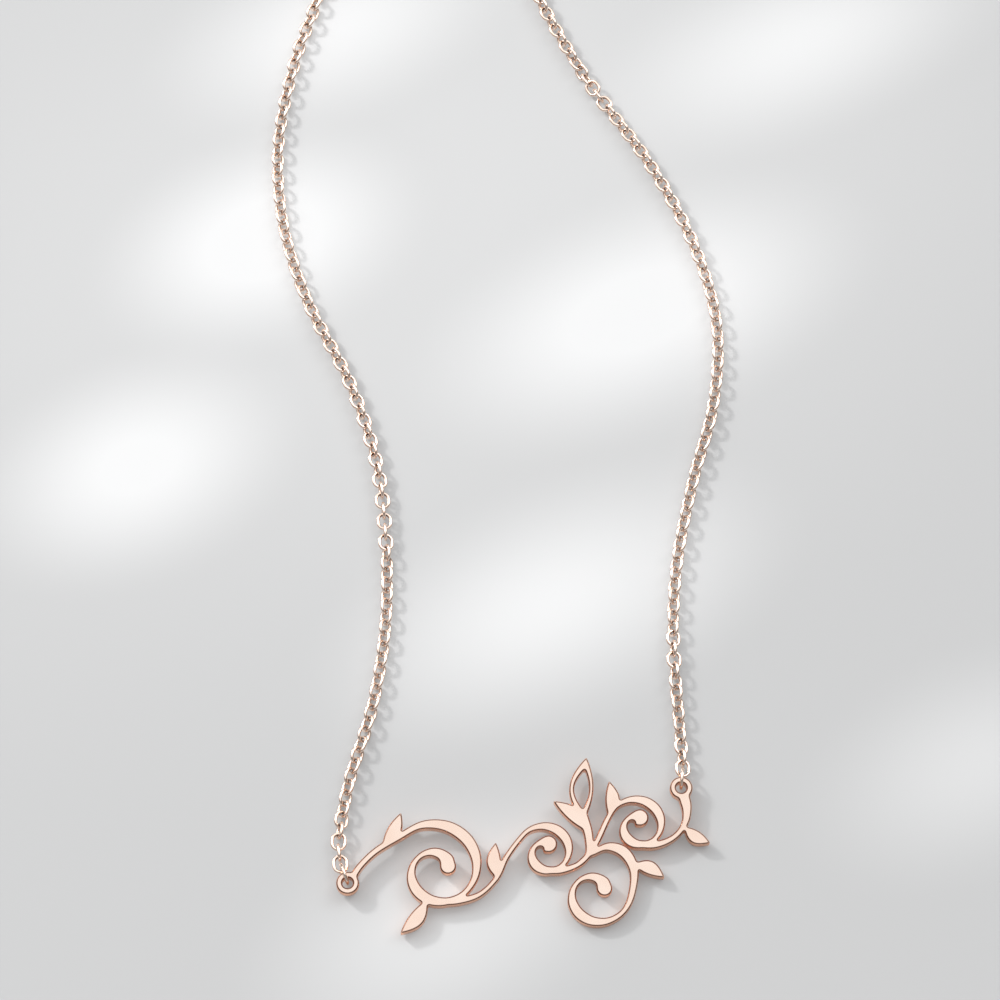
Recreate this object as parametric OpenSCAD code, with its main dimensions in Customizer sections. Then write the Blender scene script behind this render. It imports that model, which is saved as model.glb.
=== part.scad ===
/* [Plate] */
// Distance between the centres of the two eyes
eye_span = 36.5; // [32:0.5:42]
// Thickness of the sheet that the plate is cut from
plate_t = 1.1; // [0.8:0.05:1.4]
// Width of a stroke where the pen presses hardest
stroke_wide = 1.5; // [1.2:0.05:1.8]
// Width of a stroke where the pen runs along its edge
stroke_thin = 0.75; // [0.6:0.05:0.95]
// Slope of the pen's edge, in degrees
nib_angle = 30; // [0:5:60]
// Bore of each eye
eye_bore = 1.15; // [1:0.05:1.4]
// Width of the metal round the bore of an eye
eye_wall = 0.62; // [0.5:0.02:0.8]
// Turn of the plate as it lies, in degrees: the right eye is further up
plate_turn = 16.6; // [10:0.1:20]

/* [Chain] */
// Length of one link over its wire
link_l = 2.08; // [1.9:0.02:2.3]
// Width of one link over its wire
link_w = 1.72; // [1.6:0.02:1.9]
// Thickness of the wire of a link
link_wire = 0.36; // [0.3:0.02:0.4]
// Play between two links that hang in each other
link_play = 0.13; // [0.12:0.01:0.2]
// Length of each strand that is made link by link, from the plate's ring on
strand_run = 146; // [80:1:150]

/* [Rings] */
// Thickness of the wire of a jump ring
ring_wire = 0.36; // [0.3:0.02:0.45]
// Play of a jump ring round what it holds
ring_play = 0.14; // [0.12:0.01:0.3]

/* [Clasp] */
// Outer diameter of the spring ring
clasp_d = 6; // [5:0.25:8]
// Thickness of the spring ring's tube
clasp_wire = 1.3; // [1.1:0.05:1.4]
// Inner diameter of the lug
lug_bore = 0.9; // [0.8:0.05:1.2]
// Thickness of the lug's wire
lug_wire = 0.6; // [0.5:0.05:0.7]
// Diameter of the thumb piece
thumb_d = 0.8; // [0.6:0.05:1]
// Height of the thumb piece above the tube
thumb_h = 0.9; // [0.6:0.1:1.4]

/* [Hidden] */
rose = "#e9bda6";

// Plan positions are measured from the middle of the box round the whole loop
eye_left = [-10.9, -95.8];
eye_right = eye_left + eye_span * [cos(plate_turn), sin(plate_turn)];
clasp_at = [-2.9, 98.2];

// Clearance between pieces that rest in each other
clear = 0.11;
// How far a ring's centre lies beyond the middle of the metal that it holds
eye_off = 0.2;
lug_off = 0.3;

// Steps of the curve between two knots, of a stroke and of the chain's route
stroke_steps = 6;
route_steps = 10;
// Distance between two sections of the plain tube that stands for the hidden chain
tube_step = 3;

// The ornament is a running scroll, drawn in hundredths of the distance between the eyes.
// Strokes: knots of the stem as along, above; then its volute as centre along, centre above,
// first radius, last radius, first angle, sweep; then the shares of the pen's width at both ends
strokes = [
    // from the left eye over the top into the great volute
    [[[1.6, 1], [5, 3.9], [10.4, 6.8]], [25.5, -3.5, 14.6, 3.4, 122, -480], 0.95, 0.8],
    // from the great volute into the second
    [[[24, -12.7], [29.4, -14], [35.4, -13.8], [41.2, -10.6], [45.4, -5.8]],
     [57, -7.4, 8.6, 2.6, 138, -440], 0.75, 0.8],
    // from the second volute into the third
    [[[55.4, -12.4], [60.4, -13.7], [66, -13], [71, -9.4]], [84.6, -7.4, 9, 2.6, 150, -450], 0.75, 0.8],
    // from the third volute up to the right eye
    [[[83, -12.5], [88.4, -14.1], [93.6, -13.4], [97.6, -10.6], [99.6, -6.6], [100, -2.4]], [], 0.75, 0.95],
    // tendril that hangs from the stem and curls back
    [[[69.5, -11.2], [74.6, -10.8], [78.6, -13.8], [79.6, -19.6]],
     [67, -22.6, 10.4, 3, -22, -330], 0.85, 0.75],
    // stalk of the tall leaf
    [[[64.8, -13.4], [68.6, -11], [70.2, -6], [70.4, 0.5]], [], 0.8, 0.8]
];

// Leaves: foot, tip, width, bow to the left, share of the leaf that is cut through
leaves = [
    [[69.9, -1.5], [76.4, 16.4], 7, 1, 0.62],
    [[70.3, -5], [63.4, 6.6], 4.2, -1, 0],
    [[41.6, -11.5], [44, -0.5], 4.2, 1, 0],
    [[12.4, 7.6], [20.4, 15.6], 4, -0.8, 0],
    [[20.6, -11], [10.4, -18.4], 4.4, 1, 0],
    [[79.6, -17.6], [87.4, -24], 4.2, 1, 0],
    [[77.4, -2.8], [80.6, 7.8], 4.2, -1, 0],
    [[97.2, -11.2], [103, -18], 4, -0.8, 0]
];

// How much wider than the pen a volute's rounded end is
bud = 0.7;

// Route of the left strand in plan, from the ring to the clasp, and of the right strand
route_left = [[-11.9, -90.6], [-10.9, -84.3], [-8.5, -75.5], [-7.3, -66.3], [-7.4, -57], [-8.6, -47.5],
              [-11.7, -37.9], [-16.5, -28], [-19.5, -18], [-20.2, -7.8], [-18.6, 2.6], [-16.2, 10.9],
              [-14.8, 19], [-15.2, 27], [-18.6, 37], [-24.2, 47], [-28.4, 58], [-29.1, 70], [-26.4, 82],
              [-19.5, 92.5]];
route_right = [[24.1, -78.3], [23.6, -68.6], [24.2, -59.4], [26.1, -49.9], [28.6, -40.3], [29.1, -30.5],
               [26.6, -20.5], [21.8, -10.4], [15.1, 0], [9.7, 10.6], [7, 19], [7.4, 27], [10.8, 37],
               [16.4, 47], [20.8, 58], [21.6, 70], [18.8, 82], [11.5, 92.5]];

// Directions in plan in which the two rings of the plate lead away from it
ring_left_turn = 110;
ring_right_turn = 84;

// Roll of the chain about its own line: place along the strand, roll of its even links
roll_left = [[0, 0], [2, 2], [6, 47], [34, 47], [38, 3], [42, 3], [46, 22], [64, 22], [70, 42]];
roll_right = [[0, 14], [4, 42], [8.5, 45], [12.5, 14], [13.5, 14], [17.5, 48], [42, 48], [56, 38], [63, 22],
              [70, 16], [81, 16], [91.5, -74], [97, -74], [110, -45]];
// Length over which the roll changes before the clasp
roll_out = 12;

// Size of one hundredth of the ornament
share = eye_span / 100;

// Jump rings stand on edge: bore and height of those at the eyes and of those at the clasp
eye_ring_r = norm([eye_wall / 2 + eye_off, plate_t / 2]) + ring_play;
back_ring_r = (clasp_wire + link_wire + link_play) / 2 + ring_play;
clasp_off = back_ring_r - ring_play - clasp_wire / 2;

// Height at which a bar of this radius rests in a ring, with its middle off the ring's centre
function rest_z(ring_r, bar_r, off) =
    ring_r + ring_wire - sqrt(pow(ring_r - bar_r - clear, 2) - off * off);

// Height of the middle of the chain when its even links are rolled by this angle
function ride(roll) =
    link_wire / 2 + (link_w - link_wire) / 2 * max(abs(sin(roll)), abs(cos(roll)));

// Half the middle diameter of the spring ring and of its lug, and the reach of the lug's outer wire
clasp_r = (clasp_d - clasp_wire) / 2;
lug_r = (lug_bore + lug_wire) / 2;
lug_far = clasp_d / 2 + 2 * lug_r;
lug_z = rest_z(back_ring_r, lug_wire / 2, lug_off);
clasp_z = rest_z(back_ring_r, clasp_wire / 2, clasp_off);
clasp_tilt = atan((clasp_z - lug_z) / (clasp_r + lug_far));

// How far beyond a ring's centre the middle of the flat link that hangs in it lies
function hold(ring_r) =
    sqrt(pow(ring_r - link_play - link_wire / 2, 2) - pow(ring_r + ring_wire - ride(0), 2))
    + (link_l - link_wire) / 2;

// The plate's back at the eyes clears the ring that passes below it
eye_lift = eye_ring_r + ring_wire + clear - sqrt(pow(eye_ring_r, 2) - pow(eye_wall / 2 + eye_off, 2));
eye_reach = eye_bore / 2 + eye_wall / 2 + eye_off;

// Points of a smooth curve through the knots
function between(a, b, c, d, t) =
    0.5 * (2 * b + (c - a) * t + (2 * a - 5 * b + 4 * c - d) * t * t + (3 * b - a - 3 * c + d) * t * t * t);
function smooth(knots, steps) =
    let (n = len(knots), k = concat([2 * knots[0] - knots[1]], knots, [2 * knots[n - 1] - knots[n - 2]]))
    concat([for (i = [0:n - 2], j = [0:steps - 1]) between(k[i], k[i + 1], k[i + 2], k[i + 3], j / steps)],
           [knots[n - 1]]);

// Heading of a curve at one of its points
function heading(p, i) =
    let (a = p[max(i - 1, 0)], b = p[min(i + 1, len(p) - 1)]) atan2(b[1] - a[1], b[0] - a[0]);

// Half the width that the pen draws along this heading
function half_pen(angle, press) =
    press / 2 * (stroke_thin + (stroke_wide - stroke_thin) * pow(sin(angle - nib_angle), 2));

// Knots of a stroke: those of its stem, then one for each 30 degrees of its volute
function spiral(v) = v == [] ? [] :
    let (n = round(abs(v[5]) / 30))
    [for (i = [0:n]) let (r = v[2] + (v[3] - v[2]) * i / n, a = v[4] + v[5] * i / n)
        [v[0] + r * cos(a), v[1] + r * sin(a)]];

// Outline of a stroke with round ends
function stroke_outline(stroke) =
    let (
        p = smooth(concat(stroke[0], spiral(stroke[1])), stroke_steps) * share,
        n = len(p) - 1,
        turn = [for (i = [0:n]) heading(p, i)],
        last = [for (i = [0:n]) stroke[1] == [] ? 0 : max(0, 1 - (n - i) / (2 * stroke_steps))],
        half = [for (i = [0:n])
            half_pen(turn[i], stroke[2] + (stroke[3] - stroke[2]) * i / n) * (1 + bud * last[i] * last[i] * (3 - 2 * last[i]))]
    )
    concat(
        [for (i = [0:n]) p[i] + half[i] * [-sin(turn[i]), cos(turn[i])]],
        [for (a = [60:-30:-60]) p[n] + half[n] * [cos(turn[n] + a), sin(turn[n] + a)]],
        [for (i = [n:-1:0]) p[i] + half[i] * [sin(turn[i]), -cos(turn[i])]],
        [for (a = [240:-30:120]) p[0] + half[0] * [cos(turn[0] + a), sin(turn[0] + a)]]
    );

// Outline of a leaf from foot to tip, drawn at a scale about its own middle
function leaf_outline(foot, tip, width, bow, size) =
    let (
        along = tip - foot,
        across = [-along[1], along[0]] / norm(along),
        mid = (foot + tip) / 2,
        n = 14
    )
    [for (i = [0:2 * n - 1])
        let (
            side = i < n ? 1 : -1,
            t = i < n ? i / n : 2 - i / n,
            bulge = side * width / 2 * pow(sin(180 * t), 0.9) + bow * sin(180 * t),
            at = foot + along * t + across * bulge,
            core = mid + across * bow * 0.8
        )
        (core + (at - core) * size) * share];

outlines = [for (s = strokes) stroke_outline(s)];
// Lowest point of the ornament, on which the plate rests
plate_low = min([for (o = outlines, p = o) p[1]]);
plate_tilt = asin(-eye_lift / plate_low);

// Points and running lengths of a strand, from the middle of its first link to that of its last
function run_of(p) = [for (i = 0, s = 0; i < len(p);
    s = i + 1 < len(p) ? s + norm(p[i + 1] - p[i]) : s, i = i + 1) s];
function leave(eye, turn) = eye + (eye_reach + hold(eye_ring_r)) * [cos(turn), sin(turn)];
path_left = smooth(concat([leave(eye_left, ring_left_turn)], route_left,
    [clasp_at - [lug_far + lug_off + hold(back_ring_r), 0]]), route_steps);
path_right = smooth(concat([leave(eye_right, ring_right_turn)], route_right,
    [clasp_at + [clasp_r + clasp_off + hold(back_ring_r), 0]]), route_steps);

module torus(mid_r, wire) {
    rotate_extrude($fn = 48) translate([mid_r, 0]) circle(d = wire, $fn = 24);
}

module link() {
    straight = link_l - link_w;
    for (end = [0, 180])
        rotate([0, 0, end]) translate([straight / 2, 0, 0]) rotate([0, 0, -90])
            rotate_extrude(angle = 180, $fn = 48)
                translate([(link_w - link_wire) / 2, 0]) circle(d = link_wire, $fn = 24);
    for (side = [-1, 1])
        translate([-straight / 2, side * (link_w - link_wire) / 2, 0])
            rotate([0, 90, 0]) cylinder(d = link_wire, h = straight, $fn = 24);
}

// Facts of a strand: x, y and roll against the running length, its length, the pitch of its links,
// and the number of the last link that is made
function strand(path, turns) =
    let (
        run = run_of(path),
        total = run[len(run) - 1],
        gaps = round(total / (link_l - 2 * link_wire - link_play)),
        roll = turns[len(turns) - 1][1]
    )
    [
        [for (i = [0:len(path) - 1]) [run[i], path[i][0]]],
        [for (i = [0:len(path) - 1]) [run[i], path[i][1]]],
        concat(turns, [[total - roll_out, roll], [total, gaps % 2 == 0 ? 0 : sign(roll) * 90]]),
        total, total / gaps, floor(strand_run * gaps / total)
    ];
function place(str, s) = [lookup(s, str[0]), lookup(s, str[1])];
function course(str, s) =
    let (d = place(str, s + link_l / 4) - place(str, s - link_l / 4)) atan2(d[1], d[0]);

module links(str) {
    for (i = [0:str[5]]) {
        s = i * str[4];
        roll = lookup(s, str[2]);
        translate(concat(place(str, s), [ride(roll)]))
            rotate([0, 0, course(str, s)]) rotate([roll + 90 * (i % 2), 0, 0]) link();
    }
}

// Plain eight-sided tube along the rest of a strand, with a flat side down
module back_tube(str, ring_r) {
    from = str[5] * str[4] + link_l / 2 + link_play;
    to = str[3] + hold(ring_r) - (ring_r + ring_wire + link_play);
    n = ceil((to - from) / tube_step);
    z = ride(45);
    r = z / cos(22.5);
    points = [for (i = [0:n])
        let (s = from + (to - from) * i / n, at = place(str, s), turn = course(str, s))
        for (k = [0:7])
            let (a = 22.5 + 45 * k)
            [at[0] - r * cos(a) * sin(turn), at[1] + r * cos(a) * cos(turn), z + r * sin(a)]];
    sides = [for (i = [0:n - 1], k = [0:7])
        let (a = 8 * i + k, b = 8 * i + (k + 1) % 8)
        each [[a, b, b + 8], [a, b + 8, a + 8]]];
    ends = [[for (k = [7:-1:0]) k], [for (k = [0:7]) 8 * n + k]];
    polyhedron(points, concat(sides, ends));
}

// Ring on edge whose centre lies this far from the middle of a hole, towards turn
module standing_ring(at, turn, reach, ring_r) {
    color(rose)
        translate([at[0] + reach * cos(turn), at[1] + reach * sin(turn), ring_r + ring_wire])
            rotate([90, 0, turn]) torus(ring_r + ring_wire / 2, ring_wire);
}

module ornament() {
    for (outline = outlines) polygon(outline);
    for (leaf = leaves)
        difference() {
            polygon(leaf_outline(leaf[0], leaf[1], leaf[2], leaf[3], 1));
            if (leaf[4] > 0) polygon(leaf_outline(leaf[0], leaf[1], leaf[2], leaf[3], leaf[4]));
        }
}

module nameplate() {
    color(rose)
        translate([eye_left[0], eye_left[1], eye_lift]) rotate([0, 0, plate_turn]) rotate([plate_tilt, 0, 0])
            difference() {
                union() {
                    linear_extrude(plate_t) ornament();
                    for (u = [0, eye_span])
                        translate([u, 0, 0]) cylinder(r = eye_bore / 2 + eye_wall, h = plate_t, $fn = 48);
                }
                for (u = [0, eye_span])
                    translate([u, 0, -1]) cylinder(d = eye_bore, h = plate_t + 2, $fn = 48);
            }
}

module ring_left() {
    standing_ring(eye_left, ring_left_turn, eye_reach, eye_ring_r);
}

module ring_right() {
    standing_ring(eye_right, ring_right_turn, eye_reach, eye_ring_r);
}

module chain_left() {
    color(rose) links(strand(path_left, roll_left));
}

module chain_right() {
    color(rose) links(strand(path_right, roll_right));
}

module chain_back_left() {
    color(rose) back_tube(strand(path_left, roll_left), back_ring_r);
}

module chain_back_right() {
    color(rose) back_tube(strand(path_right, roll_right), back_ring_r);
}

module clasp() {
    color(rose)
        translate([clasp_at[0], clasp_at[1], clasp_z - clasp_r * tan(clasp_tilt)])
            rotate([0, -clasp_tilt, 0]) {
                torus(clasp_r, clasp_wire);
                translate([-clasp_d / 2 - lug_r, 0, 0]) torus(lug_r, lug_wire);
                rotate([0, 0, -60]) translate([clasp_r, 0, 0]) rotate([0, 90, 0]) {
                    cylinder(d = thumb_d, h = clasp_wire / 2 + thumb_h, $fn = 24);
                    translate([0, 0, clasp_wire / 2 + thumb_h]) sphere(d = thumb_d * 1.2, $fn = 24);
                }
            }
}

module clasp_ring() {
    standing_ring(clasp_at - [lug_far, 0], 180, lug_off, back_ring_r);
}

module end_ring() {
    standing_ring(clasp_at + [clasp_r, 0], 0, clasp_off, back_ring_r);
}

nameplate();
ring_left();
ring_right();
chain_left();
chain_right();
chain_back_left();
chain_back_right();
clasp();
clasp_ring();
end_ring();
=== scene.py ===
"""Looks of a nameplate necklace: a pierced scrollwork plate on a fine cable chain, in polished rose gold."""
import logging
import math
from dataclasses import dataclass, field
from enum import Enum

import bpy
import numpy as np
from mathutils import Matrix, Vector, geometry


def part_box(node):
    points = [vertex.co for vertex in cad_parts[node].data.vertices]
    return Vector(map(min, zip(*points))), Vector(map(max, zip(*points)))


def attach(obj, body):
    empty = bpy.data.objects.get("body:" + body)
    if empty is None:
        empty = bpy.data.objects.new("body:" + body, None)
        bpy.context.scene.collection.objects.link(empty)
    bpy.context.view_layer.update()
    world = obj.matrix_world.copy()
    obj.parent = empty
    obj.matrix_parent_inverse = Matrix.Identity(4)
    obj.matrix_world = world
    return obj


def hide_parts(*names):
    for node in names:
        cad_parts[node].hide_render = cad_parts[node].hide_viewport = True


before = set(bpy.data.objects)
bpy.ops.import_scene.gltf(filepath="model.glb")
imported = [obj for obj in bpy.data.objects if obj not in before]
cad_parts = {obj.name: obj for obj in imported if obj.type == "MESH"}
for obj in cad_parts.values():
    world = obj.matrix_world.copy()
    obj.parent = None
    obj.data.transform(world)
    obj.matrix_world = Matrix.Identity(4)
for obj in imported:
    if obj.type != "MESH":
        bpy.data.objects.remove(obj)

MM = 0.001
NOISE_MIDDLE = 0.5
TINY = 1e-9
LOG = logging.getLogger("necklace")

# Routes of the two strands in plan, in millimetres, from the plate's ring to the clasp's.
# They pass through the same points as in the part's source.
ROUTE_LEFT = [(-11.9, -90.6), (-10.9, -84.3), (-8.5, -75.5), (-7.3, -66.3), (-7.4, -57), (-8.6, -47.5),
              (-11.7, -37.9), (-16.5, -28), (-19.5, -18), (-20.2, -7.8), (-18.6, 2.6), (-16.2, 10.9),
              (-14.8, 19), (-15.2, 27), (-18.6, 37), (-24.2, 47), (-28.4, 58), (-29.1, 70), (-26.4, 82),
              (-19.5, 92.5)]
ROUTE_RIGHT = [(24.1, -78.3), (23.6, -68.6), (24.2, -59.4), (26.1, -49.9), (28.6, -40.3), (29.1, -30.5),
               (26.6, -20.5), (21.8, -10.4), (15.1, 0), (9.7, 10.6), (7, 19), (7.4, 27), (10.8, 37),
               (16.4, 47), (20.8, 58), (21.6, 70), (18.8, 82), (11.5, 92.5)]

# Roll of each strand about its own line: millimetres along the strand, and degrees for its even links
ROLL_LEFT = [(0, 0), (2, 2), (6, 47), (34, 47), (38, 3), (42, 3), (46, 22), (64, 22), (70, 42)]
ROLL_RIGHT = [(0, 14), (4, 42), (8.5, 45), (12.5, 14), (13.5, 14), (17.5, 48), (42, 48), (56, 38), (63, 22),
              (70, 16), (81, 16), (91.5, -74), (97, -74), (110, -45)]


class Slot(Enum):
    """The record's material slots."""

    PLATE = "plate"
    CHAIN = "chain"
    CLASP = "clasp"


class Shade:
    """A shader socket that adds Math nodes when it is used in a Python expression."""

    def __init__(self, recipe: "Recipe", socket: bpy.types.NodeSocket) -> None:
        """Wraps one output socket.

        Args:
            recipe: the node tree that the socket is in.
            socket: the output socket.
        """
        self.recipe = recipe
        self.socket = socket

    def _math(self, operation: str, first: "Shade | float", second: "Shade | float") -> "Shade":
        """Adds one Math node.

        Args:
            operation: the Math node's operation.
            first: the upper operand.
            second: the lower operand.

        Returns:
            The node's output.
        """
        return self.recipe.add("ShaderNodeMath", {"operation": operation}, {0: first, 1: second})

    def __add__(self, other: "Shade | float") -> "Shade":
        """Sum."""
        return self._math("ADD", self, other)

    def __radd__(self, other: float) -> "Shade":
        """Sum with a number on the left."""
        return self._math("ADD", other, self)

    def __sub__(self, other: "Shade | float") -> "Shade":
        """Difference."""
        return self._math("SUBTRACT", self, other)

    def __rsub__(self, other: float) -> "Shade":
        """Difference with a number on the left."""
        return self._math("SUBTRACT", other, self)

    def __mul__(self, other: "Shade | float") -> "Shade":
        """Product."""
        return self._math("MULTIPLY", self, other)

    def __rmul__(self, other: float) -> "Shade":
        """Product with a number on the left."""
        return self._math("MULTIPLY", other, self)

    def step(self, low: float, high: float) -> "Shade":
        """Smooth rise from 0 to 1.

        Args:
            low: the value where the rise starts.
            high: the value where it ends.

        Returns:
            The risen value, held between 0 and 1.
        """
        return self.recipe.add("ShaderNodeMapRange", {"interpolation_type": "SMOOTHSTEP"},
                               {"Value": self, "From Min": low, "From Max": high})


class Recipe:
    """The node tree of one material or of the world."""

    def __init__(self, owner: bpy.types.Material | bpy.types.World) -> None:
        """Empties the owner's node tree.

        Args:
            owner: the material or world that is being made.
        """
        owner.use_nodes = True
        self.tree = owner.node_tree
        self.tree.nodes.clear()

    def add(self, kind: str, settings: dict | None = None, inputs: dict | None = None,
            out: int | str = 0) -> Shade:
        """Adds any node and links its inputs.

        Args:
            kind: the node's type.
            settings: its settings, such as an operation, set before its sockets.
            inputs: the value or link of each named or numbered input socket.
            out: name or number of the output that is wanted.

        Returns:
            That output.
        """
        node = self.tree.nodes.new(kind)
        for key, value in (settings or {}).items():
            setattr(node, key, value)
        for key, value in (inputs or {}).items():
            if isinstance(value, Shade):
                self.tree.links.new(value.socket, node.inputs[key])
            else:
                node.inputs[key].default_value = value
        return Shade(self, node.outputs[out] if node.outputs else None)

    def blend(self, share: Shade | float, first: Shade | tuple, second: Shade | tuple) -> Shade:
        """Mixes two colours.

        Args:
            share: share of the second colour.
            first: the first colour, as a link or four numbers.
            second: the second colour.

        Returns:
            The mixed colour.
        """
        return self.add("ShaderNodeMix", {"data_type": "RGBA"}, {0: share, 6: first, 7: second}, out=2)

    def noise(self, place: Shade, grain: float, detail: float = 2.0) -> Shade:
        """Adds a noise of a given size.

        Args:
            place: the coordinates, in metres.
            grain: size of one cell in metres.
            detail: how many finer octaves it has.

        Returns:
            The noise, about 0.5 on average.
        """
        return self.add("ShaderNodeTexNoise", {}, {"Vector": place, "Scale": 1 / grain, "Detail": detail})


@dataclass(frozen=True)
class RoseGold:
    """Polished rose gold plating with a satin grain and hairlines, paler in patches of wear and painted
    highlight, and darkened by painted shade where the mesh marks it.

    Clouds of a paler tone lie over it, and the sides that were cut out are redder. Each span is the pair of
    noise values between which that mark fades in.
    """

    name: str
    tone: tuple[float, float, float] = (0.73, 0.565, 0.474)
    pale: tuple[float, float, float] = (0.75, 0.605, 0.520)
    worn_highlight: tuple[float, float, float] = (0.96, 0.800, 0.700)
    painted_shade_colour: tuple[float, float, float] = (0.13, 0.045, 0.024)
    cut: tuple[float, float, float] = (0.96, 0.530, 0.350)
    shade_share: float = 0.9
    shade_cloud: float = 0.1
    cloud: float = 3 * MM
    cloud_span: tuple[float, float] = (0.3, 0.7)
    grain: float = 0.09 * MM
    grain_depth: float = 0.35
    hairline: float = 0.35
    hairline_size: float = 1.6 * MM
    hairline_turn: float = math.radians(28)
    hairline_stretch: float = 14.0
    hairline_span: tuple[float, float] = (0.6, 0.72)
    wear_and_highlight: float = 0.7
    wear_highlight_size: float = 0.5 * MM
    wear_highlight_span: tuple[float, float] = (0.38, 0.62)
    cut_line: float = 0.07 * MM
    cut_stretch: float = 0.06
    cut_depth: float = 0.8
    relief: float = 0.004 * MM
    relief_strength: float = 0.25
    roughness: float = 0.15
    rough_cloud: float = 0.05
    rough_grain: float = 0.1
    rough_hairline: float = 0.07
    rough_wear_highlight: float = 0.05
    rough_in_shade: float = 0.08
    rough_side: float = 0.06

    def material(self) -> bpy.types.Material:
        """Makes the material.

        Returns:
            A material that reads the mesh attributes edge, painted_shade and side.
        """
        made = bpy.data.materials.new(self.name)
        recipe = Recipe(made)
        place = recipe.add("ShaderNodeTexCoord", out="Object")
        edge, painted_shade, side = (recipe.add("ShaderNodeAttribute", {"attribute_name": label}, out="Fac")
                            for label in ("edge", "painted_shade", "side"))
        cloud = recipe.noise(place, self.cloud, detail=3).step(*self.cloud_span)
        grain = recipe.noise(place, self.grain, detail=3)
        along = recipe.add("ShaderNodeMapping", {}, {"Vector": place, "Rotation": (0, 0, self.hairline_turn),
                                                     "Scale": (1, self.hairline_stretch, 1)})
        lines = recipe.noise(along, self.hairline_size, detail=6).step(*self.hairline_span)
        upright = recipe.add("ShaderNodeMapping", {}, {"Vector": place, "Scale": (1, 1, self.cut_stretch)})
        cuts = side * recipe.noise(upright, self.cut_line, detail=2)
        # Wear and painted highlight: paler, glossier patches on the exposed sides.
        wear_and_highlight = edge * recipe.noise(place, self.wear_highlight_size, detail=3).step(*self.wear_highlight_span)
        colour = recipe.blend(cloud, (*self.tone, 1), (*self.pale, 1))
        colour = recipe.blend(side, colour, (*self.cut, 1))
        colour = recipe.blend(wear_and_highlight * self.wear_and_highlight, colour, (*self.worn_highlight, 1))
        # Painted shade: a dark copper-brown in the marked seats, along the plate's front edge and where
        # links touch.
        colour = recipe.blend(painted_shade * (self.shade_share + self.shade_cloud * cloud), colour, (*self.painted_shade_colour, 1))
        rough = (self.roughness + self.rough_cloud * cloud + self.rough_grain * (grain - NOISE_MIDDLE)
                 + self.rough_hairline * self.hairline * lines - self.rough_wear_highlight * wear_and_highlight
                 + self.rough_in_shade * painted_shade + self.rough_side * side)
        height = self.grain_depth * grain - self.hairline * lines + self.cut_depth * cuts
        normal = recipe.add("ShaderNodeBump", {}, {"Height": height, "Strength": self.relief_strength,
                                                   "Distance": self.relief}, out="Normal")
        surface = recipe.add("ShaderNodeBsdfPrincipled", {},
                             {"Base Color": colour, "Metallic": 1.0, "Roughness": rough, "Normal": normal})
        recipe.add("ShaderNodeOutputMaterial", {}, {"Surface": surface})
        return made


@dataclass(frozen=True)
class Pool:
    """Painted soft oval pool of brighter light on the floor, its place and half its size in millimetres."""

    x: float
    y: float
    long: float
    short: float
    share: float
    turn: float = math.radians(25)


@dataclass(frozen=True)
class PaleCard:
    """Matt white floor that everything lies on, glowing a little like a light table, with painted soft pools
    of light on it.
    """

    name: str = "pale_card"
    tone: tuple[float, float, float] = (0.310, 0.314, 0.318)
    lit: tuple[float, float, float] = (0.450, 0.455, 0.460)
    glow: float = 0.24
    glow_share: float = 0.7
    roughness: float = 0.85
    specular: float = 0.2
    pools: tuple[Pool, ...] = (
        Pool(-22, -20, 22, 15, 0.9), Pool(-14, 8, 26, 14, 0.7), Pool(40, 6, 30, 14, 0.7),
        Pool(21, -29, 32, 16, 0.9), Pool(-35, -48, 22, 15, 0.9), Pool(11, -64, 32, 16, 0.9),
        Pool(-1, -100, 26, 15, 0.6), Pool(56, -82, 24, 14, 0.5), Pool(0, -15, 110, 70, 0.35))

    def material(self) -> bpy.types.Material:
        """Makes the material.

        Returns:
            A matt material that also glows a little, and more in the painted pools of light.
        """
        made = bpy.data.materials.new(self.name)
        recipe = Recipe(made)
        place = recipe.add("ShaderNodeTexCoord", out="Object")
        light = 0.0
        # Painted pools of light: each brightens both the floor's colour and its glow.
        for pool in self.pools:
            inside = recipe.add("ShaderNodeMapping", {"vector_type": "TEXTURE"},
                                {"Vector": place, "Location": (pool.x * MM, pool.y * MM, 0),
                                 "Rotation": (0, 0, pool.turn),
                                 "Scale": (pool.long * MM, pool.short * MM, 1)})
            far = recipe.add("ShaderNodeVectorMath", {"operation": "LENGTH"}, {0: inside}, out="Value")
            light = pool.share * far.step(1, 0) + light
        tone = recipe.blend(light, (*self.tone, 1), (*self.lit, 1))
        glow = recipe.blend(light, (self.glow_share,) * 3 + (1,), (1, 1, 1, 1))
        surface = recipe.add("ShaderNodeBsdfPrincipled", {},
                             {"Base Color": tone, "Roughness": self.roughness,
                              "Specular IOR Level": self.specular, "Emission Color": glow,
                              "Emission Strength": self.glow})
        recipe.add("ShaderNodeOutputMaterial", {}, {"Surface": surface})
        return made


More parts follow.
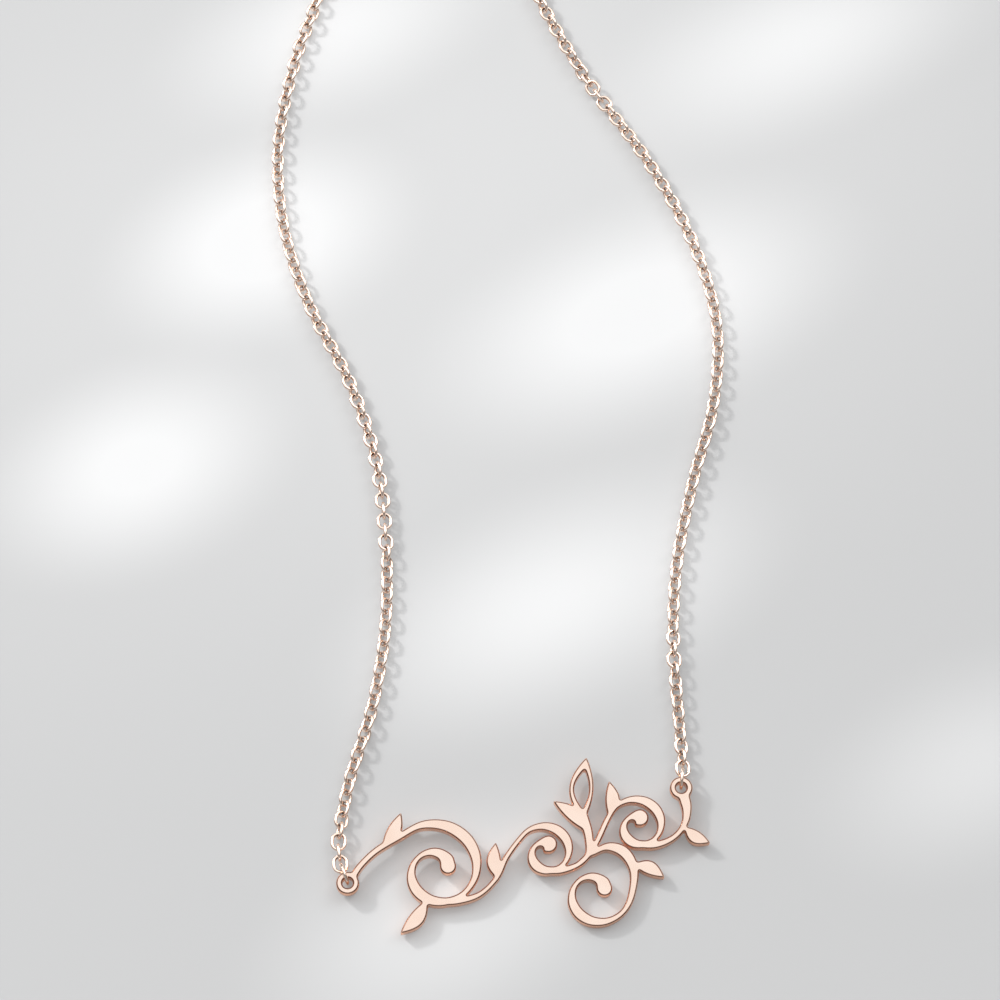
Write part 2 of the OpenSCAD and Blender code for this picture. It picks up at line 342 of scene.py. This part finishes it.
@dataclass
class Form:
    """Points, faces and surface attributes of a mesh that is being made, in metres."""

    points: list[np.ndarray] = field(default_factory=list)
    faces: list[tuple[int, ...]] = field(default_factory=list)
    edge: list[np.ndarray] = field(default_factory=list)
    painted_shade: list[np.ndarray] = field(default_factory=list)
    side: list[np.ndarray] = field(default_factory=list)
    count: int = 0

    def add(self, points: np.ndarray, faces: list[tuple[int, ...]], edge: np.ndarray | float = 0.0,
            painted_shade: np.ndarray | float = 0.0, side: np.ndarray | float = 0.0) -> None:
        """Adds one closed shell.

        Args:
            points: its points.
            faces: its faces, as indices into those points.
            edge: how exposed each point is to wear and painted highlight, 0 to 1.
            painted_shade: how deep each point lies in painted shade, 0 to 1.
            side: how far each point lies on a side that was cut, 0 to 1.
        """
        self.points.append(points)
        self.faces.extend(tuple(int(i) + self.count for i in face) for face in faces)
        self.edge.append(np.broadcast_to(edge, len(points)))
        self.painted_shade.append(np.broadcast_to(painted_shade, len(points)))
        self.side.append(np.broadcast_to(side, len(points)))
        self.count += len(points)

    def piece(self, name: str, finish: bpy.types.Material, slot: Slot, *nodes: str) -> bpy.types.Object:
        """Turns the form into a piece that stands for CAD nodes.

        Args:
            name: the piece's name.
            finish: its material.
            slot: the record's slot for its finish; it is not used.
            nodes: the CAD nodes that it replaces.

        Returns:
            The piece, riding on the root body.
        """
        mesh = bpy.data.meshes.new(name)
        mesh.from_pydata(np.concatenate(self.points).tolist(), [], self.faces)
        mesh.update()
        for label, values in (("edge", self.edge), ("painted_shade", self.painted_shade), ("side", self.side)):
            attribute = mesh.attributes.new(label, "FLOAT", "POINT")
            attribute.data.foreach_set("value", np.concatenate(values).astype(np.float32))
        mesh.polygons.foreach_set("use_smooth", [True] * len(mesh.polygons))
        mesh.materials.append(finish)
        piece = bpy.data.objects.new(name, mesh)
        bpy.context.scene.collection.objects.link(piece)
        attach(piece, "root")
        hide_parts(*nodes)
        LOG.info("%s: %d faces", name, len(mesh.polygons))
        return piece


def node_points(node: str) -> np.ndarray:
    """Points of a CAD node, in metres.

    Args:
        node: the node's name.

    Returns:
        An array of points.
    """
    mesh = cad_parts[node].data
    points = np.zeros(len(mesh.vertices) * 3)
    mesh.vertices.foreach_get("co", points)
    return points.reshape(-1, 3)


def round_angles(count: int) -> np.ndarray:
    """Even angles round a full turn, from 0."""
    return 2 * math.pi * np.arange(count) / count


def wrapped(angle: np.ndarray) -> np.ndarray:
    """The same angles, brought between minus and plus half a turn."""
    return (angle + math.pi) % (2 * math.pi) - math.pi


def wire_points(middle: np.ndarray, outward: np.ndarray, across: np.ndarray, radius: np.ndarray | float,
                section: int) -> np.ndarray:
    """Points of a wire round a line that lies in a plane.

    Args:
        middle: the line's points.
        outward: direction out of the line's loop at each point, in its plane.
        across: direction out of the plane.
        radius: the wire's radius, as one value or as one at each point.
        section: number of points round the wire.

    Returns:
        The points, one section after the other.
    """
    b = round_angles(section)[None, :, None]
    rim = np.cos(b) * outward[:, None] + np.sin(b) * across
    return (middle[:, None] + np.reshape(radius, (-1, 1, 1)) * rim).reshape(-1, 3)


def tube_faces(around: int, section: int) -> list[tuple[int, int, int, int]]:
    """Faces of a closed tube whose points run round the section first.

    Args:
        around: number of sections along the tube.
        section: number of points in each.

    Returns:
        The faces.
    """
    return [(i * section + j, (i + 1) % around * section + j,
             (i + 1) % around * section + (j + 1) % section, i * section + (j + 1) % section)
            for i in range(around) for j in range(section)]


@dataclass
class Nameplate:
    """The pierced plate: its outline comes from the CAD solid and gets softly rounded, polished edges.

    The front looks along the mean normal of the faces whose normals rise by more than front_tilt. A face is
    part of it when its normal matches that by more than front_match and it lies within front_slack of the
    highest point.
    """

    node: str = "nameplate"
    step: float = 0.09 * MM
    soften: float = 0.15 * MM
    bevel: float = 0.065 * MM
    bevel_round: float = 0.055 * MM
    back_round: float = 0.08 * MM
    rim: float = 0.05 * MM
    arc_steps: int = 4
    front_tilt: float = 0.9
    front_match: float = 0.99
    front_slack: float = 0.01 * MM
    fewest_points: int = 24
    inset_passes: int = 6
    inset_blur: float = 0.1
    weld_mm: float = 1e-5

    def axes(self) -> np.ndarray:
        """Directions along, across and out of the plate's face.

        Returns:
            Three unit vectors as rows.
        """
        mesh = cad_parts[self.node].data
        fronts = (p.normal * p.area for p in mesh.polygons if p.normal.z > self.front_tilt)
        out = sum(fronts, Vector()).normalized()
        along = (Vector((1, 0, 0)) - out * out.x).normalized()
        return np.array([along, out.cross(along), out])

    def outlines(self, axes: np.ndarray) -> tuple[list[np.ndarray], float, float]:
        """Closed outlines of the plate's front face, metal on their left.

        Args:
            axes: the plate's directions.

        Returns:
            The outlines in the plate's own plane, and the heights of its back and its front.
        """
        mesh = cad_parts[self.node].data
        local = node_points(self.node) @ axes.T
        front = local[:, 2].max()
        back = local[:, 2].min()
        keys = [tuple(np.round(p[:2] / MM, 3)) for p in local]
        sides = set()
        for face in mesh.polygons:
            level = face.normal.dot(Vector(axes[2])) > self.front_match
            if level and local[face.vertices[0], 2] > front - self.front_slack:
                loop = [keys[i] for i in face.vertices]
                sides.update((a, b) for a, b in zip(loop, loop[1:] + loop[:1]))
        follow = {a: b for a, b in sides if (b, a) not in sides and a != b}
        found = []
        while follow:
            start, point = next(iter(follow.items()))
            loop = [start]
            del follow[start]
            while point != start:
                loop.append(point)
                point = follow.pop(point)
            found.append(np.array(loop) * MM)
        return found, back, front

    def smooth(self, loop: np.ndarray) -> np.ndarray:
        """Evenly spaced and softened copy of an outline.

        Args:
            loop: the outline's corners.

        Returns:
            Its new points, which keep the outline's place.
        """
        ends = np.vstack([loop, loop[:1]])
        run = np.concatenate([[0], np.cumsum(np.linalg.norm(np.diff(ends, axis=0), axis=1))])
        count = max(self.fewest_points, round(run[-1] / self.step))
        at = np.arange(count) * run[-1] / count
        even = np.column_stack([np.interp(at, run, ends[:, k]) for k in (0, 1)])
        wave = np.fft.fftfreq(count, run[-1] / count)
        blur = np.exp(-2 * (math.pi * self.soften * wave) ** 2)
        # The blurred part of what a first blur takes away is added back, so round turns keep their size
        keep = blur * (2 - blur)
        return np.real(np.fft.ifft(np.fft.fft(even, axis=0) * keep[:, None], axis=0))

    def inset(self, loop: np.ndarray, depth: float) -> np.ndarray:
        """Outline moved into the metal.

        Args:
            loop: an even outline, metal on its left.
            depth: how far it moves.

        Returns:
            The moved outline, with as many points.
        """
        for _ in range(self.inset_passes):
            ahead = np.roll(loop, -1, axis=0) - np.roll(loop, 1, axis=0)
            ahead /= np.maximum(np.linalg.norm(ahead, axis=1), TINY)[:, None]
            loop = loop + depth / self.inset_passes * np.column_stack([-ahead[:, 1], ahead[:, 0]])
            beside = np.roll(loop, -1, axis=0) + np.roll(loop, 1, axis=0)
            loop = (1 - 2 * self.inset_blur) * loop + self.inset_blur * beside
        return loop

    def profile(self, back: float, front: float) -> list[tuple[float, float, float, float]]:
        """Section of the plate's edge, from the front face round to the back.

        Args:
            back: height of the back.
            front: height of the front.

        Returns:
            How far each point lies inside the outline, its height, its painted shade and whether it was cut.
        """
        quarter = [math.pi / 2 * k / self.arc_steps for k in range(self.arc_steps + 1)]
        eighth = [turn / 2 for turn in quarter]
        reach = self.bevel + self.bevel_round
        points = [(reach + self.rim, front, 0.0, 0.0)]
        # The front rounding carries full painted shade, a painted dark line along the edge in place of a
        # dark reflection.
        for turn in eighth:
            fall = self.bevel_round * (1 - math.cos(turn))
            points.append((reach - self.bevel_round * math.sin(turn), front - fall, 1.0, 0.0))
        for turn in reversed(eighth):
            inside = self.bevel_round * (1 - math.cos(turn))
            points.append((inside, front - reach + self.bevel_round * math.sin(turn), 0.0, 1.0))
        for turn in quarter:
            inside = self.back_round * (1 - math.cos(turn))
            points.append((inside, back + self.back_round * (1 - math.sin(turn)), 0.0, 1.0))
        return points + [(self.back_round + self.rim, back, 0.0, 0.0)]

    def build(self, finish: bpy.types.Material) -> bpy.types.Object:
        """Makes the plate.

        Args:
            finish: its material.

        Returns:
            The piece.
        """
        axes = self.axes()
        loops, back, front = self.outlines(axes)
        loops = [self.smooth(loop) for loop in loops]
        profile = self.profile(back, front)
        form = Form()
        points, faces, painted_shade, side = [], [], [], []
        count = 0
        caps: dict[float, list[tuple[int, np.ndarray]]] = {front: [], back: []}
        for loop in loops:
            n = len(loop)
            for depth, height, shade_share, cut in profile:
                ring = self.inset(loop, depth) if depth > 0 else loop
                points.append(np.column_stack([ring, np.full(n, height)]))
                painted_shade.append(np.full(n, shade_share))
                side.append(np.full(n, cut))
            for k in range(len(profile) - 1):
                upper, lower = count + k * n, count + (k + 1) * n
                faces += [(upper + i, lower + i, lower + (i + 1) % n, upper + (i + 1) % n) for i in range(n)]
            caps[front].append((count, points[-len(profile)][:, :2]))
            caps[back].append((count + (len(profile) - 1) * n, points[-1][:, :2]))
            count += n * len(profile)
        for height, rings in caps.items():
            faces += self.cap(rings, up=height == front)
        form.add(np.concatenate(points) @ axes, faces, painted_shade=np.concatenate(painted_shade), side=np.concatenate(side))
        return form.piece("scroll_plate", finish, Slot.PLATE, self.node)

    def cap(self, rings: list[tuple[int, np.ndarray]], up: bool) -> list[tuple[int, ...]]:
        """Flat faces that close the front or the back.

        Args:
            rings: number of the first point of each ring, and its points in the plate's plane.
            up: whether the faces look out of the front.

        Returns:
            The faces.
        """
        flat, index, sides = [], [], []
        for first, ring in rings:
            base = len(flat)
            n = len(ring)
            flat += [Vector(p / MM) for p in ring]
            index += range(first, first + n)
            sides += [(base + i, base + (i + 1) % n) for i in range(n)]
        # Output type 1 gives every triangle inside the outer edge, with the holes filled in too
        places, _, triangles, origins, _, _ = geometry.delaunay_2d_cdt(flat, sides, [], 1, self.weld_mm)
        source = [given[0] if given else None for given in origins]
        middles = np.array([sum((places[i] for i in face), Vector((0, 0))) / 3 for face in triangles])
        start = np.array([flat[a] for a, _ in sides])
        end = np.array([flat[b] for _, b in sides])
        metal = []
        # A triangle is metal when a line from its middle towards +X crosses the outlines an odd number
        # of times
        for x, y in middles:
            spans = (start[:, 1] > y) != (end[:, 1] > y)
            a, b = start[spans], end[spans]
            crossed = a[:, 0] + (y - a[:, 1]) / (b[:, 1] - a[:, 1]) * (b[:, 0] - a[:, 0])
            metal.append(np.sum(crossed > x) % 2 == 1)
        faces = []
        for face, kept in zip(triangles, metal):
            corners = [source[i] for i in face]
            if kept and None not in corners:
                made = tuple(index[i] for i in corners)
                faces.append(made if up else made[::-1])
        return faces


@dataclass
class JumpRing:
    """A round jump ring, at the place and size of its CAD node, with the faint seam where it was closed.

    The seam's place and width are angles round the ring, and its depth is a share of the wire's radius.
    """

    node: str
    name: str
    around: int = 72
    section: int = 20
    seam_at: float = 2.2
    seam_width: float = 0.05
    seam_depth: float = 0.12
    seam_shade: float = 0.35
    inner_shade: float = 0.25
    centre: np.ndarray = field(init=False)
    axis: np.ndarray = field(init=False)
    wire: float = field(init=False)
    inner: float = field(init=False)

    def __post_init__(self) -> None:
        """Measures the ring on its CAD node."""
        low, high = (np.array(corner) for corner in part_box(self.node))
        self.centre = (low + high) / 2
        points = node_points(self.node) - self.centre
        _, vectors = np.linalg.eigh(points.T @ points)
        self.axis = vectors[:, 0]
        self.wire = np.ptp(points @ self.axis)
        self.inner = np.linalg.norm(points, axis=1).max() - self.wire

    def build(self, finish: bpy.types.Material) -> bpy.types.Object:
        """Makes the ring.

        Args:
            finish: its material.

        Returns:
            The piece.
        """
        up = np.array([0, 0, 1])
        side = np.cross(self.axis, up)
        a = round_angles(self.around)
        b = round_angles(self.section)
        seam = np.exp(-(wrapped(a - self.seam_at) / self.seam_width) ** 2)
        thick = self.wire / 2 * (1 - self.seam_depth * seam)
        outward = np.cos(a)[:, None] * side + np.sin(a)[:, None] * up
        middle = self.centre + (self.inner + self.wire / 2) * outward
        points = wire_points(middle, outward, self.axis, thick, self.section)
        # Painted shade on the inner side of the wire, where links hang, and deeper in the seam.
        shade_share = self.inner_shade + self.seam_shade * seam
        painted_shade = np.maximum(-np.cos(b), 0)[None, :] * shade_share[:, None]
        form = Form()
        form.add(points, tube_faces(self.around, self.section),
                 edge=np.tile(np.maximum(np.cos(b), 0), self.around), painted_shade=painted_shade.ravel())
        return form.piece(self.name, finish, Slot.CHAIN, self.node)


@dataclass
class CableStrand:
    """One strand of oval cable chain, from a ring at the plate to a ring at the clasp.

    The turns are directions in plan, in degrees, in which the chain leads away from each ring. The last roll
    holds until roll_out before the strand's end, and from there it changes to suit the clasp's ring.
    """

    side: str
    route: list[tuple[float, float]]
    rolls: list[tuple[float, float]]
    start: JumpRing
    start_turn: float
    end: JumpRing
    end_turn: float
    length: float = 2.08 * MM
    width: float = 1.72 * MM
    wire: float = 0.36 * MM
    play: float = 0.13 * MM
    front_run: float = 146 * MM
    roll_out: float = 12 * MM
    route_steps: int = 10
    arc: int = 14
    section: int = 12
    jitter: float = 1.6
    tip_power: float = 1.4
    pitch: float = field(init=False)

    def ride_height(self, roll: np.ndarray | float) -> np.ndarray:
        """Height of the middle of the chain where its even links are rolled by so many degrees."""
        a = np.radians(roll)
        return self.wire / 2 + (self.width - self.wire) / 2 * np.maximum(abs(np.sin(a)), abs(np.cos(a)))

    def hold(self, ring: JumpRing, turn: float) -> np.ndarray:
        """Middle of the flat link that hangs in a ring.

        Args:
            ring: the ring.
            turn: direction in plan in which the chain leads away, in degrees.

        Returns:
            The link's place in plan.
        """
        reach = ring.inner - self.play - self.wire / 2
        drop = ring.centre[2] - self.ride_height(0.0)
        out = math.sqrt(reach * reach - drop * drop) + (self.length - self.wire) / 2
        return ring.centre[:2] + out * np.array([math.cos(math.radians(turn)), math.sin(math.radians(turn))])

    def line(self) -> np.ndarray:
        """Points of the smooth line that the chain follows in plan, a Catmull-Rom curve."""
        knots = np.vstack([self.hold(self.start, self.start_turn), np.array(self.route) * MM,
                           self.hold(self.end, self.end_turn)])
        knots = np.vstack([2 * knots[0] - knots[1], knots, 2 * knots[-1] - knots[-2]])
        t = (np.arange(self.route_steps) / self.route_steps)[:, None]
        spans = [0.5 * (2 * b + (c - a) * t + (2 * a - 5 * b + 4 * c - d) * t * t
                        + (3 * b - a - 3 * c + d) * t ** 3)
                 for a, b, c, d in zip(knots, knots[1:], knots[2:], knots[3:])]
        return np.vstack(spans + [knots[-2:-1]])

    def sites(self) -> tuple[np.ndarray, np.ndarray, np.ndarray]:
        """Where every link lies.

        Returns:
            The middles of the links, their headings in plan and their rolls, both in radians.
        """
        line = self.line()
        run = np.concatenate([[0], np.cumsum(np.linalg.norm(np.diff(line, axis=0), axis=1))])
        gaps = round(run[-1] / (self.length - 2 * self.wire - self.play))
        self.pitch = run[-1] / gaps
        at = np.arange(gaps + 1) * self.pitch
        last = self.rolls[-1][1]
        marks = [s * MM for s, _ in self.rolls] + [run[-1] - self.roll_out, run[-1]]
        rolls = [r for _, r in self.rolls] + [last, 0 if gaps % 2 == 0 else math.copysign(90, last)]
        roll = np.interp(at, marks, rolls)

        def place(s: np.ndarray) -> np.ndarray:
            """Points of the line at these running lengths."""
            return np.column_stack([np.interp(s, run, line[:, k]) for k in (0, 1)])

        ahead = place(at + self.length / 4) - place(at - self.length / 4)
        middles = np.column_stack([place(at), self.ride_height(roll)])
        sway = np.random.default_rng(len(self.route)).uniform(-self.jitter, self.jitter, gaps + 1)
        return (middles, np.arctan2(ahead[:, 1], ahead[:, 0]),
                np.radians(roll + 90 * (np.arange(gaps + 1) % 2) + sway))

    def link(self) -> tuple[np.ndarray, np.ndarray, np.ndarray]:
        """One link about the origin, lying flat, long in X.

        Returns:
            Its points, how exposed each is to wear and painted highlight, and how deep each lies in painted
            shade.
        """
        half = np.linspace(-math.pi / 2, math.pi / 2, self.arc + 1)
        a = np.concatenate([half, half + math.pi])
        shift = np.repeat([1, -1], self.arc + 1) * (self.length - self.width) / 2
        b = round_angles(self.section)
        outward = np.column_stack([np.cos(a), np.sin(a), 0 * a])
        middle = (self.width - self.wire) / 2 * outward
        middle[:, 0] += shift
        points = wire_points(middle, outward, np.array([0, 0, 1]), self.wire / 2, self.section)
        tip = np.abs(np.cos(a)) ** self.tip_power
        # Painted shade on the inner side of each end, where the next link touches.
        painted_shade = tip[:, None] * np.maximum(-np.cos(b), 0)[None, :]
        edge = np.maximum(np.cos(b), 0)[None, :] * np.ones_like(tip)[:, None]
        return points, edge.ravel(), painted_shade.ravel()

    def build(self, finish: bpy.types.Material) -> list[bpy.types.Object]:
        """Makes the strand as two runs of links, before and past the plain tube's start.

        Args:
            finish: their material.

        Returns:
            The two pieces.
        """
        points, edge, painted_shade = self.link()
        faces = tube_faces(2 * (self.arc + 1), self.section)
        made = []
        sites = list(zip(*self.sites()))
        front = math.floor(self.front_run / self.pitch) + 1
        for name, node, run in (("strand", "chain", sites[:front]),
                                ("strand_back", "chain_back", sites[front:])):
            form = Form()
            for middle, heading, roll in run:
                c, s = math.cos(heading), math.sin(heading)
                cr, sr = math.cos(roll), math.sin(roll)
                turned = np.array([[c, -s, 0], [s, c, 0], [0, 0, 1]])
                rolled = np.array([[1, 0, 0], [0, cr, -sr], [0, sr, cr]])
                form.add(points @ (turned @ rolled).T + middle, faces, edge, painted_shade)
            made.append(form.piece(f"{name}_{self.side}", finish, Slot.CHAIN, f"{node}_{self.side}"))
        return made


@dataclass
class SpringRing:
    """The spring ring clasp: a round tube with its slide, lug and thumb piece.

    Two grooves go round the tube where the slide ends, and a shallow slot for the thumb piece runs along its
    outer side. Their turns are angles round the ring from the thumb piece, their lengths and widths are
    angles too, and their depths are shares of the tube's radius. The thumb piece's neck, waist and ball are
    shares of its stem's radius. The waist ends ball_foot of the ball's radius below the ball's middle, and
    the ball starts ball_turn degrees from its tip.
    """

    node: str = "clasp"
    at: tuple[float, float] = (-2.9 * MM, 98.2 * MM)
    diameter: float = 6 * MM
    tube: float = 1.3 * MM
    lug_bore: float = 0.9 * MM
    lug_wire: float = 0.6 * MM
    thumb: float = 0.8 * MM
    thumb_height: float = 0.9 * MM
    thumb_turn: float = math.radians(-60)
    thumb_foot: float = 0.1 * MM
    thumb_sides: int = 24
    neck: float = 0.9
    waist: float = 0.8
    ball: float = 1.2
    ball_foot: float = 0.9
    ball_turn: float = 125.0
    ball_steps: int = 12
    groove_turns: tuple[float, float] = (0.62, -1.9)
    groove_width: float = 0.03
    groove_depth: float = 0.07
    groove_shade: float = 0.7
    slot_turn: float = -0.42
    slot_length: float = 0.5
    slot_width: float = 0.34
    slot_depth: float = 0.16
    slot_shade: float = 0.8
    tube_wear_highlight: float = 0.4
    lug_wear_highlight: float = 0.5
    thumb_wear_highlight: float = 0.8
    around: int = 144
    section: int = 32
    lug_around: int = 48
    lug_section: int = 20

    def axes(self) -> tuple[np.ndarray, np.ndarray]:
        """Plane of the clasp.

        Returns:
            Its directions as rows, towards the chain's end, across and out, and its middle.
        """
        points = node_points(self.node)
        _, vectors = np.linalg.eigh(np.cov(points.T))
        out = vectors[:, 0] * np.sign(vectors[2, 0])
        across = np.cross(out, [1, 0, 0])
        across /= np.linalg.norm(across)
        flat = points.mean(axis=0)
        height = flat[2] - (out[0] * (self.at[0] - flat[0]) + out[1] * (self.at[1] - flat[1])) / out[2]
        return np.array([np.cross(across, out), across, out]), np.array([*self.at, height])

    @staticmethod
    def hoop(radius: float, thick: np.ndarray | float, around: int, section: int) -> np.ndarray:
        """Points of a round hoop about the origin.

        Args:
            radius: its middle radius.
            thick: the tube's radius, as one value or as one at every point.
            around: number of sections.
            section: number of points in each.

        Returns:
            The points.
        """
        a = round_angles(around)[:, None]
        b = round_angles(section)[None, :]
        reach = radius + thick * np.cos(b)
        rise = thick * np.sin(b) + 0 * a
        return np.stack([reach * np.cos(a), reach * np.sin(a), rise], axis=-1).reshape(-1, 3)

    def build(self, finish: bpy.types.Material) -> bpy.types.Object:
        """Makes the clasp.

        Args:
            finish: its material.

        Returns:
            The piece.
        """
        axes, middle = self.axes()
        radius = (self.diameter - self.tube) / 2
        from_thumb = round_angles(self.around)[:, None] - self.thumb_turn
        b = round_angles(self.section)[None, :]
        grooves = sum(np.exp(-(wrapped(from_thumb - turn) / self.groove_width) ** 2)
                      for turn in self.groove_turns)
        # High powers give the slot an even depth and steep ends
        slot = (np.exp(-(wrapped(from_thumb - self.slot_turn) / self.slot_length) ** 8)
                * np.exp(-(wrapped(b) / self.slot_width) ** 6))
        thick = self.tube / 2 * (1 - self.groove_depth * grooves - self.slot_depth * slot)
        # Painted shade in the grooves and the slot.
        painted_shade = np.clip(self.groove_shade * grooves + self.slot_shade * slot, 0, 1)
        form = Form()
        form.add(self.hoop(radius, thick, self.around, self.section) @ axes + middle,
                 tube_faces(self.around, self.section), edge=self.tube_wear_highlight, painted_shade=painted_shade.ravel())
        lug_radius = (self.lug_bore + self.lug_wire) / 2
        lug = self.hoop(lug_radius, self.lug_wire / 2, self.lug_around, self.lug_section)
        lug[:, 0] -= self.diameter / 2 + lug_radius
        form.add(lug @ axes + middle, tube_faces(self.lug_around, self.lug_section), edge=self.lug_wear_highlight)
        points, faces = self.thumb_piece(radius)
        c, s = math.cos(self.thumb_turn), math.sin(self.thumb_turn)
        turned = np.array([[c, s, 0], [-s, c, 0], [0, 0, 1]])
        form.add(points @ turned @ axes + middle, faces, edge=self.thumb_wear_highlight)
        return form.piece("spring_ring", finish, Slot.CLASP, self.node)

    def thumb_piece(self, radius: float) -> tuple[np.ndarray, list[tuple[int, ...]]]:
        """Stem and ball of the thumb piece, standing out along X.

        Args:
            radius: the clasp's middle radius.

        Returns:
            Its points and faces.
        """
        stem = self.thumb / 2
        ball = stem * self.ball
        rim = radius + self.tube / 2
        top = rim + self.thumb_height
        profile = [(radius, stem), (rim - self.thumb_foot, stem), (rim + self.thumb_foot, stem * self.neck),
                   (top - ball * self.ball_foot, stem * self.waist)]
        profile += [(top + ball * math.cos(t), ball * math.sin(t))
                    for t in np.radians(np.linspace(self.ball_turn, 0, self.ball_steps))]
        count = self.thumb_sides
        b = round_angles(count)
        points = np.vstack([np.column_stack([np.full(count, x), r * np.cos(b), r * np.sin(b)])
                            for x, r in profile[:-1]] + [[[profile[0][0], 0, 0], [top + ball, 0, 0]]])
        rows = len(profile) - 1
        faces = [(i * count + j, i * count + (j + 1) % count, (i + 1) * count + (j + 1) % count,
                  (i + 1) * count + j) for i in range(rows - 1) for j in range(count)]
        foot, tip = rows * count, rows * count + 1
        faces += [(foot, (j + 1) % count, j) for j in range(count)]
        faces += [(tip, (rows - 1) * count + j, (rows - 1) * count + (j + 1) % count) for j in range(count)]
        return points, faces


@dataclass(frozen=True)
class SkyPatch:
    """Soft round patch of light in the sky. It fades in between two cosines of the angle to its middle."""

    toward: tuple[float, float, float]
    bright: float
    fade_from: float
    fade_to: float


@dataclass(frozen=True)
class Studio:
    """Camera, floor and soft light: a small key lamp, and patches of light in a dark sky."""

    aim: tuple[float, float, float] = (0.005, -0.0518, 0.0)
    distance: float = 0.4
    elevation: float = math.radians(67)
    lens: float = 131.7
    nearest: float = 0.01
    floor_size: float = 3.0
    key_turn: float = math.radians(143)
    key_elevation: float = math.radians(33)
    key_distance: float = 0.7
    key_width: float = 0.07
    key_power: float = 3.0
    key_colour: tuple[float, float, float] = (1.0, 0.985, 0.97)
    sky_dark: tuple[float, float, float] = (0.10, 0.074, 0.060)
    sky: SkyPatch = SkyPatch((-0.10, 0.40, 0.91), 1.32, 0.51, 0.60)
    window_left: SkyPatch = SkyPatch((-0.66, 0.42, 0.62), 4.6, 0.93, 0.98)
    window_right: SkyPatch = SkyPatch((0.60, 0.42, 0.68), 4.0, 0.93, 0.98)
    front: SkyPatch = SkyPatch((0.05, -0.86, 0.50), 0.36, 0.60, 0.90)

    def camera(self) -> None:
        """Makes the camera at the photo's angle."""
        data = bpy.data.cameras.new("camera")
        data.lens = self.lens
        data.clip_start = self.nearest
        camera = bpy.data.objects.new("camera", data)
        back = Vector((0, -math.cos(self.elevation), math.sin(self.elevation)))
        camera.location = Vector(self.aim) + self.distance * back
        camera.rotation_euler = (math.pi / 2 - self.elevation, 0, 0)
        bpy.context.scene.collection.objects.link(camera)
        bpy.context.scene.camera = camera

    def floor(self) -> None:
        """Makes the pale floor."""
        half = self.floor_size / 2
        mesh = bpy.data.meshes.new("floor")
        mesh.from_pydata([(-half, -half, 0), (half, -half, 0), (half, half, 0), (-half, half, 0)], [],
                         [(0, 1, 2, 3)])
        mesh.materials.append(PaleCard().material())
        floor = bpy.data.objects.new("floor", mesh)
        bpy.context.scene.collection.objects.link(floor)

    def light(self) -> None:
        """Makes the key lamp and the soft sky."""
        data = bpy.data.lights.new("key", "AREA")
        data.size = self.key_width
        data.energy = self.key_power
        data.color = self.key_colour
        lamp = bpy.data.objects.new("key", data)
        out = Vector((math.cos(self.key_turn) * math.cos(self.key_elevation),
                      math.sin(self.key_turn) * math.cos(self.key_elevation), math.sin(self.key_elevation)))
        lamp.location = Vector(self.aim) + self.key_distance * out
        lamp.rotation_mode = "QUATERNION"
        lamp.rotation_quaternion = out.to_track_quat("Z", "Y")
        bpy.context.scene.collection.objects.link(lamp)
        world = bpy.data.worlds.new("sky")
        bpy.context.scene.world = world
        recipe = Recipe(world)
        ray = recipe.add("ShaderNodeTexCoord", out="Generated")
        colour = (*self.sky_dark, 1)
        for patch in (self.sky, self.window_left, self.window_right, self.front):
            near = recipe.add("ShaderNodeVectorMath", {"operation": "DOT_PRODUCT"},
                              {0: ray, 1: Vector(patch.toward).normalized()}, out="Value")
            share = near.step(patch.fade_from, patch.fade_to)
            colour = recipe.blend(share, colour, (patch.bright,) * 3 + (1,))
        surface = recipe.add("ShaderNodeBackground", {}, {"Color": colour})
        recipe.add("ShaderNodeOutputWorld", {}, {"Surface": surface})
        bpy.context.scene.view_settings.view_transform = "Standard"


def main() -> None:
    """Builds the studio, then each sub-assembly in order."""
    logging.basicConfig(level=logging.INFO, format="%(name)s: %(message)s")
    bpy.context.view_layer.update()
    studio = Studio()
    studio.camera()
    studio.floor()
    studio.light()
    plate_finish = RoseGold("rose_gold_plate").material()
    wire_tone, wire_pale = (0.94, 0.728, 0.605), (0.95, 0.78, 0.67)
    chain_finish = RoseGold("rose_gold_chain", tone=wire_tone, pale=wire_pale, cloud=1.1 * MM,
                            roughness=0.08, hairline=0.1).material()
    clasp_finish = RoseGold("rose_gold_clasp", tone=wire_tone, pale=wire_pale, shade_share=0.5,
                            cloud=2 * MM, roughness=0.12).material()
    Nameplate().build(plate_finish)
    rings = {node: JumpRing(node, name) for node, name in
             (("ring_left", "jump_ring_left"), ("ring_right", "jump_ring_right"),
              ("clasp_ring", "jump_ring_clasp"), ("end_ring", "jump_ring_end"))}
    for ring in rings.values():
        ring.build(chain_finish)
    left = CableStrand("left", ROUTE_LEFT, ROLL_LEFT, start=rings["ring_left"], start_turn=110,
                       end=rings["clasp_ring"], end_turn=180)
    right = CableStrand("right", ROUTE_RIGHT, ROLL_RIGHT, start=rings["ring_right"], start_turn=84,
                        end=rings["end_ring"], end_turn=0)
    for strand in (left, right):
        strand.build(chain_finish)
    SpringRing().build(clasp_finish)


if __name__ == "__main__":
    main()
